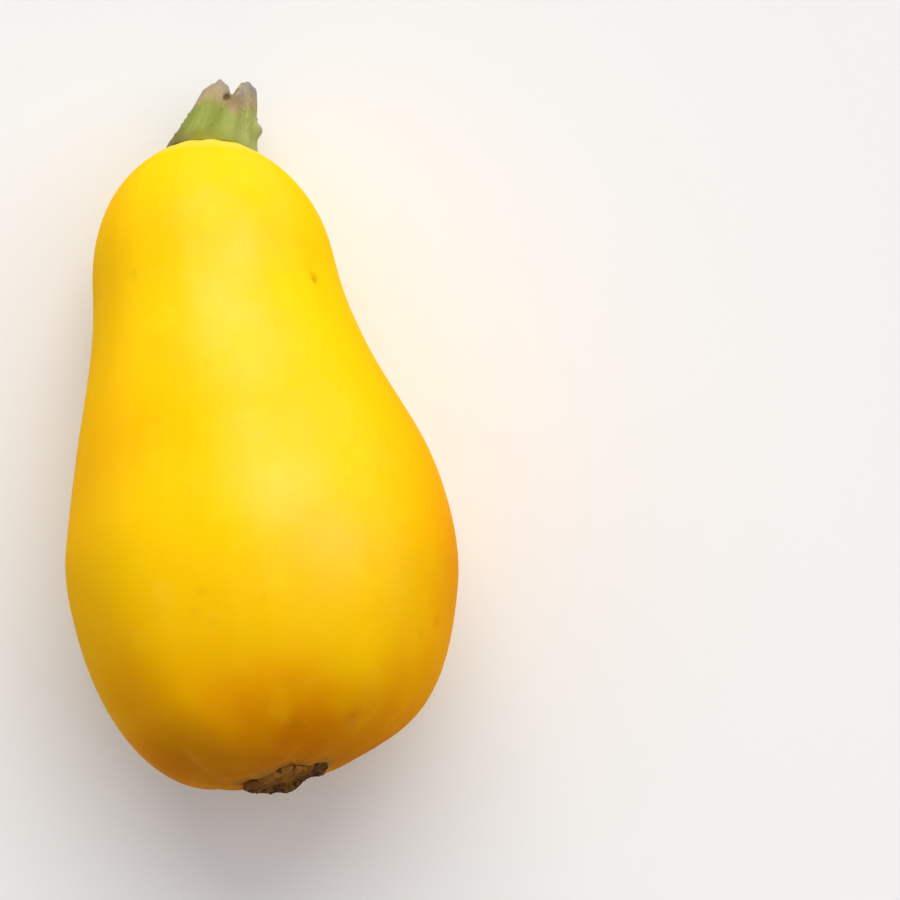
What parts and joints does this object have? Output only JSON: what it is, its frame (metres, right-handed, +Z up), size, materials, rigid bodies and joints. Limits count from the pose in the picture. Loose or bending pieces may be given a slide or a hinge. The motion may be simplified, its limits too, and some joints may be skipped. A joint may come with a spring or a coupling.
{
  "type": "yellow squash",
  "caption": "Pear-shaped yellow summer squash with a torn green stem stub and a corky blossom scar, lying on its side.",
  "frame": {"origin": "on the surface that the squash lies on, under the middle of its bounding box", "axes": "+Y from the blossom end to the stem end, +Z up, +X to the right when looking along +Y"},
  "size_m": [0.09, 0.1648, 0.0896],
  "materials": {
    "rind": "satin",
    "stem": "matte",
    "scar": "matte"
  },
  "bodies": {
    "root": {"fruit": "rind", "stem": "stem", "blossom_scar": "scar"}
  },
  "joints": []
}
